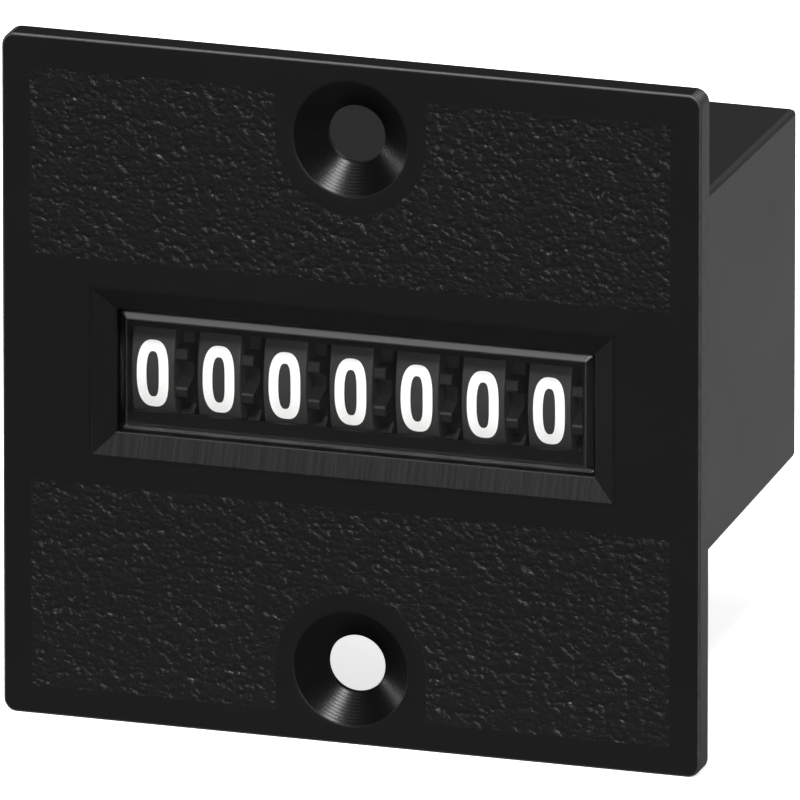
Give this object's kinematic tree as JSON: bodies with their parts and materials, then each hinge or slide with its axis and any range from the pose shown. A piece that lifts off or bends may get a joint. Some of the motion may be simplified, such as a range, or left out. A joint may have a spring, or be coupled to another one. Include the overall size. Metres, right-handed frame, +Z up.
{
  "type": "panel-mount row counter",
  "caption": "Panel-mount impulse counter for rows or picks: black front plate with a bevelled window over a drum of number wheels, box housing with a magnet drive.",
  "frame": {"origin": "middle of the front plate's back face, at the centre of the panel cut-out", "axes": "+X to the right seen from the front, +Y through the panel towards the terminals, +Z up"},
  "size_m": [0.0528, 0.0453, 0.0514],
  "materials": {
    "black_plastic": "moulded black thermoplastic, smooth with leather-grained fields on the front",
    "clear_pane": "clear acrylic, polished",
    "wheel_plastic": "dark grey moulded wheel with white printed digits",
    "white_acetal": "natural acetal, satin",
    "phenolic_board": "brown phenolic laminate",
    "tinned_brass": "tinned brass blade",
    "brass": "stamped brass",
    "zinc_plated_steel": "zinc-plated sheet steel",
    "bright_steel": "ground bright steel",
    "soft_iron": "annealed soft iron, dull grey",
    "coil_copper": "enamelled copper wire",
    "red_pvc": "red insulated lead",
    "black_pvc": "black insulated lead"
  },
  "bodies": {
    "case": {"front_plate": "black_plastic", "window_pane": "clear_pane", "digit_mask": "black_plastic", "housing": "black_plastic", "terminal_board": "phenolic_board", "terminal_left": "tinned_brass", "terminal_right": "tinned_brass", "frame_plate_left": "zinc_plated_steel", "frame_plate_right": "zinc_plated_steel", "rear_crossbar": "zinc_plated_steel", "number_shaft": "bright_steel", "pinion_shaft": "bright_steel", "shaft_clip_left": "bright_steel", "shaft_clip_right": "bright_steel", "bobbin": "white_acetal", "coil_winding": "coil_copper", "coil_core": "soft_iron", "pole_leg_left": "soft_iron", "pole_leg_right": "soft_iron", "armature_pin": "bright_steel", "armature_spring": "bright_steel", "coil_wire_left": "red_pvc", "coil_wire_right": "black_pvc", "frame_screw_1": "zinc_plated_steel", "frame_screw_2": "zinc_plated_steel", "frame_screw_3": "zinc_plated_steel", "frame_screw_4": "zinc_plated_steel", "crossbar_screw_1": "zinc_plated_steel", "crossbar_screw_2": "zinc_plated_steel", "crossbar_screw_3": "zinc_plated_steel", "crossbar_screw_4": "zinc_plated_steel", "pole_screw_left": "zinc_plated_steel", "pole_screw_right": "zinc_plated_steel", "board_screw_left": "zinc_plated_steel", "board_screw_right": "zinc_plated_steel", "housing_screw_left": "zinc_plated_steel", "housing_screw_right": "zinc_plated_steel"},
    "units_wheel": {"wheel_units": "wheel_plastic", "ratchet_wheel": "white_acetal"},
    "tens_wheel": {"wheel_tens": "wheel_plastic"},
    "hundreds_wheel": {"wheel_hundreds": "wheel_plastic"},
    "thousands_wheel": {"wheel_thousands": "wheel_plastic"},
    "ten_thousands_wheel": {"wheel_ten_thousands": "wheel_plastic"},
    "hundred_thousands_wheel": {"wheel_hundred_thousands": "wheel_plastic"},
    "millions_wheel": {"wheel_millions": "wheel_plastic"},
    "tens_pinion": {"pinion_tens": "white_acetal"},
    "hundreds_pinion": {"pinion_hundreds": "white_acetal"},
    "thousands_pinion": {"pinion_thousands": "white_acetal"},
    "ten_thousands_pinion": {"pinion_ten_thousands": "white_acetal"},
    "hundred_thousands_pinion": {"pinion_hundred_thousands": "white_acetal"},
    "millions_pinion": {"pinion_millions": "white_acetal"},
    "armature": {"armature": "soft_iron", "verge_fork": "brass"}
  },
  "joints": [
    {"name": "units_turn", "type": "hinge", "parent": "case", "child": "units_wheel", "pos_m": [0, 0.0108, -0.0001], "axis": [-1, 0, 0], "continuous": true},
    {"name": "tens_turn", "type": "hinge", "parent": "case", "child": "tens_wheel", "pos_m": [0, 0.0108, -0.0001], "axis": [-1, 0, 0], "continuous": true},
    {"name": "hundreds_turn", "type": "hinge", "parent": "case", "child": "hundreds_wheel", "pos_m": [0, 0.0108, -0.0001], "axis": [-1, 0, 0], "continuous": true},
    {"name": "thousands_turn", "type": "hinge", "parent": "case", "child": "thousands_wheel", "pos_m": [0, 0.0108, -0.0001], "axis": [-1, 0, 0], "continuous": true},
    {"name": "ten_thousands_turn", "type": "hinge", "parent": "case", "child": "ten_thousands_wheel", "pos_m": [0, 0.0108, -0.0001], "axis": [-1, 0, 0], "continuous": true},
    {"name": "hundred_thousands_turn", "type": "hinge", "parent": "case", "child": "hundred_thousands_wheel", "pos_m": [0, 0.0108, -0.0001], "axis": [-1, 0, 0], "continuous": true},
    {"name": "millions_turn", "type": "hinge", "parent": "case", "child": "millions_wheel", "pos_m": [0, 0.0108, -0.0001], "axis": [-1, 0, 0], "continuous": true},
    {"name": "tens_transfer", "type": "hinge", "parent": "case", "child": "tens_pinion", "pos_m": [0, 0.02043, -0.00709], "axis": [-1, 0, 0], "continuous": true},
    {"name": "hundreds_transfer", "type": "hinge", "parent": "case", "child": "hundreds_pinion", "pos_m": [0, 0.02043, -0.00709], "axis": [-1, 0, 0], "continuous": true},
    {"name": "thousands_transfer", "type": "hinge", "parent": "case", "child": "thousands_pinion", "pos_m": [0, 0.02043, -0.00709], "axis": [-1, 0, 0], "continuous": true},
    {"name": "ten_thousands_transfer", "type": "hinge", "parent": "case", "child": "ten_thousands_pinion", "pos_m": [0, 0.02043, -0.00709], "axis": [-1, 0, 0], "continuous": true},
    {"name": "hundred_thousands_transfer", "type": "hinge", "parent": "case", "child": "hundred_thousands_pinion", "pos_m": [0, 0.02043, -0.00709], "axis": [-1, 0, 0], "continuous": true},
    {"name": "millions_transfer", "type": "hinge", "parent": "case", "child": "millions_pinion", "pos_m": [0, 0.02043, -0.00709], "axis": [-1, 0, 0], "continuous": true},
    {"name": "armature_pull", "type": "hinge", "parent": "case", "child": "armature", "pos_m": [0, 0.02229, 0.00954], "axis": [-1, 0, 0], "range_deg": [0, 4], "stiffness_Nm_per_rad": 0.004, "springref_deg": -20.05}
  ],
  "couplings": [
    {"joint": "tens_turn", "follows": "units_turn", "ratio": 0.1},
    {"joint": "hundreds_turn", "follows": "units_turn", "ratio": 0.01},
    {"joint": "thousands_turn", "follows": "units_turn", "ratio": 0.001},
    {"joint": "ten_thousands_turn", "follows": "units_turn", "ratio": 0.0001},
    {"joint": "hundred_thousands_turn", "follows": "units_turn", "ratio": 0.00001},
    {"joint": "millions_turn", "follows": "units_turn", "ratio": 0.000001},
    {"joint": "tens_transfer", "follows": "units_turn", "ratio": -0.25},
    {"joint": "hundreds_transfer", "follows": "units_turn", "ratio": -0.025},
    {"joint": "thousands_transfer", "follows": "units_turn", "ratio": -0.0025},
    {"joint": "ten_thousands_transfer", "follows": "units_turn", "ratio": -0.00025},
    {"joint": "hundred_thousands_transfer", "follows": "units_turn", "ratio": -0.000025},
    {"joint": "millions_transfer", "follows": "units_turn", "ratio": -0.0000025}
  ]
}
